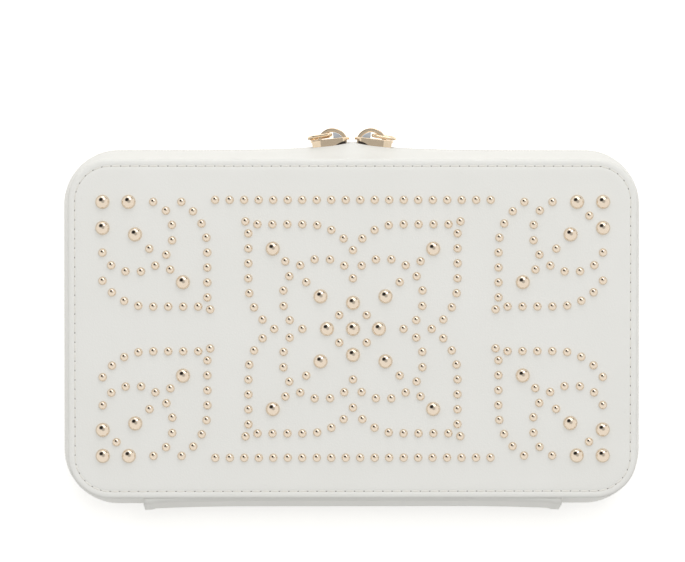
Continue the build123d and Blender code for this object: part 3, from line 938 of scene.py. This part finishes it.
def strip(name, low, high, outer, inner, material):
    """A standing strip from Y = inner(z) to Y = outer(x, z)."""
    bm = bmesh.new()
    rows = round((high.z - low.z) / ROW)
    columns = round((high.x - low.x) / COLUMN)
    bmesh.ops.create_grid(bm, x_segments=columns, y_segments=rows, size=0.5)
    bmesh.ops.rotate(bm, matrix=Matrix.Rotation(math.pi / 2, 3, "X"), verts=bm.verts)
    bmesh.ops.scale(bm, vec=(high.x - low.x, 1, high.z - low.z), verts=bm.verts)
    bmesh.ops.translate(bm, vec=(0, 0, (low.z + high.z) / 2), verts=bm.verts)
    for vert in bm.verts:
        vert.co.y = outer(vert.co.x, vert.co.z)
    back = bmesh.ops.extrude_face_region(bm, geom=bm.faces[:], use_keep_orig=True)["geom"]
    for vert in back:
        if isinstance(vert, bmesh.types.BMVert):
            vert.co.y = inner(vert.co.z)
    piece = finish_piece(bm, name, material)
    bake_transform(piece)
    return piece


def wall_back(z):
    """Y of the back wall's outer side at a height, straight over the zip gap."""
    half = "base" if z < ZIP_MIDDLE else "lid"
    tray = HALVES[half]
    depth = min(abs(z - tray["face"]), tray["height"])
    return wall_level(half, depth, 0)[1] / 2


def spine_place(x, z):
    """Outer side of the spine: a softened wall line, thin at its long edges, with a hem at each end."""
    soft = [wall_back(z + step * MM) for step in range(-SOFTENED, SOFTENED + 1)]
    from_end = spine_high.x - abs(x)
    hem = HEM_RISE if from_end < HEM else 0.0
    flare = SPINE_FLARE * max(0, 1 - from_end / SPINE_FLARE_LENGTH) ** 2
    from_edge = min(z - spine_low.z, spine_high.z - z)
    thinned = SKIVE * max(0, 1 - from_edge / SKIVE_LENGTH) ** 2
    return sum(soft) / len(soft) + SPINE_STAND + hem + flare - thinned


def spine_back(z):
    """Inner side of the spine, glued to the walls."""
    return wall_back(z) + GLUE


def hinge_outer(x, z):
    """Outer side of the hinge lining, which is flat."""
    return lining_high.y


def hinge_inner(z):
    """Inner side of the hinge lining."""
    return lining_low.y


spine = strip("spine", spine_low, spine_high, spine_place, spine_back, IVORY_LEATHER)
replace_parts(spine, "spine_leather")
hinge = strip("hinge_suede", lining_low, lining_high, hinge_outer, hinge_inner, SUEDE)
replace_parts(hinge, "hinge_lining")

# %% [markdown]
# The sliders, ring rolls and dividers start from a copy of their frame node. One helper merges the copy's
# loose triangles, and another applies the modifiers that work on an object.

# %% Working copies
MERGED = 0.005 * MM


def merged(node):
    """A bmesh of a frame node with its loose triangles merged."""
    bm = bmesh.new()
    bm.from_mesh(nodes[node].data)
    bmesh.ops.remove_doubles(bm, verts=bm.verts, dist=MERGED)
    return bm


def apply_modifiers(piece):
    """Puts what the modifiers make into the object's own mesh."""
    made = bpy.data.meshes.new_from_object(piece.evaluated_get(bpy.context.evaluated_depsgraph_get()))
    piece.modifiers.clear()
    piece.data = made


# %% [markdown]
# The zip's rows go into a slider under its nose, where a dark slit shows below the plate on both sides. A
# curved wedge is cut from each side of a merged copy of each frame slider with a Boolean modifier. What the
# wedges take away comes back set a little further in, in a near-black finish that is painted shade: it stands
# for the shadow inside the slits.

# %% Slider bodies and their mouths
SLIDERS = (("slider_left", -1, "left_slider"), ("slider_right", 1, "right_slider"))
SLIDER_TILT = math.radians(6)
SLIDER_SHARP = math.radians(12)
# millimetres from the nose and below the front of the plate, along the slit and back
MOUTH_OUTLINE = (
    (-1.0, 1.15), (2.0, 1.25), (4.0, 1.6), (5.5, 2.1), (7.0, 2.9),
    (7.0, 2.95), (5.5, 2.8), (4.0, 2.6), (2.0, 2.3), (-1.0, 2.2),
)
NECK_ROOM = 2.0 * MM
MOUTH_WIDTH = 0.92
PAST = 1.0 * MM


def mouth_wedges(node, side):
    """The slits under a slider's nose, as a wedge on each side of its neck."""
    low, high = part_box(node)
    nose = min(abs(low.x), abs(high.x))
    tilt = Matrix.Rotation(SLIDER_TILT, 2)
    bm = bmesh.new()
    for start, end in ((low.z - PAST, ZIP_MIDDLE - NECK_ROOM), (ZIP_MIDDLE + NECK_ROOM, high.z + PAST)):
        corners = []
        for along, below in MOUTH_OUTLINE:
            place = tilt @ Vector((along * MM, below * MM))
            corners.append(bm.verts.new((side * (nose + place.x), low.y + place.y, start)))
        outline = bm.faces.new(corners)
        grown = bmesh.ops.extrude_face_region(bm, geom=[outline], use_keep_orig=True)["geom"]
        far_side = [part for part in grown if isinstance(part, bmesh.types.BMVert)]
        bmesh.ops.translate(bm, vec=(0, 0, end - start), verts=far_side)
    bmesh.ops.recalc_face_normals(bm, faces=bm.faces)
    return add_object("wedges", to_mesh(bm, "wedges"))


def cut_by(node, wedges, operation):
    """A bmesh of a frame node after a Boolean with the wedges."""
    whole = add_object("whole", to_mesh(merged(node), "whole"))
    boolean = whole.modifiers.new("mouth_shade", "BOOLEAN")
    boolean.operation = operation
    boolean.solver = "EXACT"
    boolean.object = wedges
    apply_modifiers(whole)
    bm = bmesh.new()
    bm.from_mesh(whole.data)
    bpy.data.objects.remove(whole)
    return bm


for node, side, body in SLIDERS:
    wedges = mouth_wedges(node, side)
    bm = cut_by(node, wedges, "DIFFERENCE")
    plates = finish_piece(bm, f"{node}_plates", SLIDER_METAL, body)
    plates.data.set_sharp_from_angle(angle=SLIDER_SHARP)
    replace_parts(plates, node)
    # the cut-away part, set further in, carries the painted shade of the slit
    bm = cut_by(node, wedges, "INTERSECT")
    about = Matrix.Translation((0, 0, -ZIP_MIDDLE))
    bmesh.ops.scale(bm, vec=(1, 1, MOUTH_WIDTH), space=about, verts=bm.verts)
    finish_piece(bm, f"{node}_mouth", MOUTH_PAINTED_SHADE, body, smooth=False)
    bpy.data.objects.remove(wedges)

# %% [markdown]
# Inside, suede covers the floor and walls of both trays. The wall lining turns outwards over the rim as
# far as the tape. Its top follows the swelling of the front wall, and below that it lies against the board.
# Both are cloth: a flat panel with round corners, and one long band.

# %% Linings
LINING_INSET = 3.4 * MM
LINING = 0.8 * MM
LINING_FLOOR = 5.2 * MM
LINING_UNDER = 4.4 * MM
LINING_TOP = 5.5 * MM
LINING_TURN = 2.3 * MM
LINING_EDGE = 0.1 * MM
# millimetres outwards and below the rim, where the wall lining starts to turn
LINING_ROUND = ((0.0, 0.6), (0.15, 0.2), (0.5, 0.0))
# inset and depth in millimetres, from under the floor lining round its edge
FLOOR_SECTION = ((8.0, 4.4), (3.5, 4.4), (3.45, 4.9), (3.7, 5.15), (4.4, 5.2), (8.0, 5.2))


def wall_suede(half):
    height = HALVES[half]["height"]
    inner = LINING_INSET + LINING
    section = [
        (inner, LINING_FLOOR), (inner, height / 2), (inner, height - LINING_TOP),
        *((inner - out * MM, height - down * MM) for out, down in LINING_ROUND),
        (LINING_TURN, height), (LINING_TURN - LINING_EDGE, height - LINING / 2),
        (LINING_TURN, height - LINING), (LINING_INSET, height - LINING),
        (LINING_INSET, height - LINING_TOP), (LINING_INSET, LINING_FLOOR),
    ]
    bm = skin([wall_level(half, depth, inset) for inset, depth in section], closed=True)
    swell_front(bm, half, start=height - LINING_TOP)
    band = finish_piece(bm, f"{half}_wall_suede", SUEDE, half)
    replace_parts(band, f"{half}_wall_lining")


def floor_suede(half):
    levels = []
    for inset, depth in FLOOR_SECTION:
        outline = wall_level(half, LINING_UNDER, inset * MM)[:3]
        levels.append((*outline, wall_level(half, depth * MM, 0)[3]))
    panel = finish_piece(skin(levels, closed=False), f"{half}_floor_suede", SUEDE, half)
    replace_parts(panel, f"{half}_face_lining")


for half in HALVES:
    wall_suede(half)
    floor_suede(half)

# %% [markdown]
# A thin sheet of foam lies under each face leather. It is cut from flat stock, so it is drawn like the
# panels, as loops, with the slightly pressed edge that a knife leaves.

# %% Face padding
PADDING_CORNER = 9.0 * MM
# inset in millimetres and share of the thickness, from the underside to the top
PADDING_EDGE = ((6.0, 0.0), (0.5, 0.0), (0.12, 0.2), (0.0, 0.5), (0.12, 0.8), (0.5, 1.0), (6.0, 1.0))

for half in HALVES:
    low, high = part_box(f"{half}_face_padding")
    length, across, thickness = high - low
    levels = []
    for inset, share in PADDING_EDGE:
        cut = inset * MM
        levels.append((length - 2 * cut, across - 2 * cut, PADDING_CORNER - cut, low.z + share * thickness))
    foam = finish_piece(skin(levels, closed=False), f"{half}_padding_foam", FOAM, half)
    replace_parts(foam, f"{half}_face_padding")

# %% [markdown]
# The ring rolls are foam rods in suede that lie side by side, so that the band of a ring slips between
# two of them. A cloth simulation swells one roll: a copy of the frame's roll, a little smaller, is remeshed
# evenly, its seat is pinned to the floor and pressure fills the rest. The swelling is capped at the room
# that each roll has, so neighbours press flat and don't cut into each other. The others are copies.

# %% Ring rolls
ROLL_START = (0.99, 0.95, 0.95)
ROLL_VOXEL = 1.4 * MM
ROLL_PRESSURE = 40.0
ROLL_FRAMES = 20
ROLL_SEAT = 0.5 * MM
ROLL_ROOM = 0.03 * MM
ROLLS = sorted(node for node in nodes if node.startswith("ring_roll"))


def swell(piece, seat):
    """Fills an object with pressure, pinned where it is below the seat."""
    pinned = piece.vertex_groups.new(name="seat")
    pinned.add([v.index for v in piece.data.vertices if v.co.z < seat], 1.0, "REPLACE")
    cloth = piece.modifiers.new("suede", "CLOTH").settings
    cloth.vertex_group_mass = "seat"
    cloth.use_pressure = True
    cloth.uniform_pressure_force = ROLL_PRESSURE
    cloth.effector_weights.gravity = 0
    for step in range(1, ROLL_FRAMES + 1):
        bpy.context.scene.frame_set(step)
    apply_modifiers(piece)
    bpy.context.scene.frame_set(1)


def roll_mesh(node):
    """The swollen mesh of one roll."""
    low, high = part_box(node)
    bm = merged(node)
    about = Matrix.Translation((-(low.x + high.x) / 2, -(low.y + high.y) / 2, -low.z))
    bmesh.ops.scale(bm, vec=ROLL_START, space=about, verts=bm.verts)
    roll = add_object("roll", to_mesh(bm, "roll"))
    even = roll.modifiers.new("even", "REMESH")
    even.mode = "VOXEL"
    even.voxel_size = ROLL_VOXEL
    apply_modifiers(roll)
    swell(roll, low.z + ROLL_SEAT)
    smooth = roll.modifiers.new("smooth", "SUBSURF")
    smooth.levels = 1
    smooth.render_levels = 1
    apply_modifiers(roll)
    for vert in roll.data.vertices:
        for axis in range(3):
            vert.co[axis] = min(max(vert.co[axis], low[axis] + ROLL_ROOM), high[axis] - ROLL_ROOM)
    made = roll.data
    bpy.data.objects.remove(roll)
    return made


middle = ROLLS[len(ROLLS) // 2]
swollen = roll_mesh(middle)
for node in ROLLS:
    bm = bmesh.new()
    bm.from_mesh(swollen)
    bmesh.ops.translate(bm, vec=(0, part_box(node)[0].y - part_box(middle)[0].y, 0), verts=bm.verts)
    roll = finish_piece(bm, f"{node}_suede", ROLL_SUEDE, "base")
    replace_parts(roll, node)

# %% [markdown]
# The dividers are boards wrapped in the same suede, so their edges are rounded by the thickness of the
# cloth. A merged copy of each frame board is cleared of the lines across its flat sides and bevelled.

# %% Dividers
WRAPPED_EDGE = 0.8 * MM
FLAT = math.radians(1)

for node in sorted(node for node in nodes if "divider" in node):
    bm = merged(node)
    bmesh.ops.dissolve_limit(bm, angle_limit=FLAT, verts=bm.verts, edges=bm.edges)
    bmesh.ops.bevel(
        bm, geom=bm.edges[:], offset=WRAPPED_EDGE, affect="EDGES", segments=3, profile=0.5, material=-1
    )
    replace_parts(finish_piece(bm, f"{node}_suede", SUEDE, "base"), node)

# %% [markdown]
# Pieces whose frame shape is right stay as they are and only get their finish: the bridges, springs and
# ring pulls of the sliders, the boards, and the mirror with its leather frame.

# %% Sliders' fittings, boards and mirror
KEPT = {
    "slider_bridge": SLIDER_METAL, "ring_pull": SLIDER_METAL, "lock_spring": SPRING_STEEL,
    "board": BOARD, "mirror_glass": MIRROR, "mirror_frame": IVORY_LEATHER,
}
for node in nodes:
    for word, material in KEPT.items():
        if word in node:
            nodes[node].data.materials.clear()
            nodes[node].data.materials.append(material)
            print(f"{node}: {material.name}")
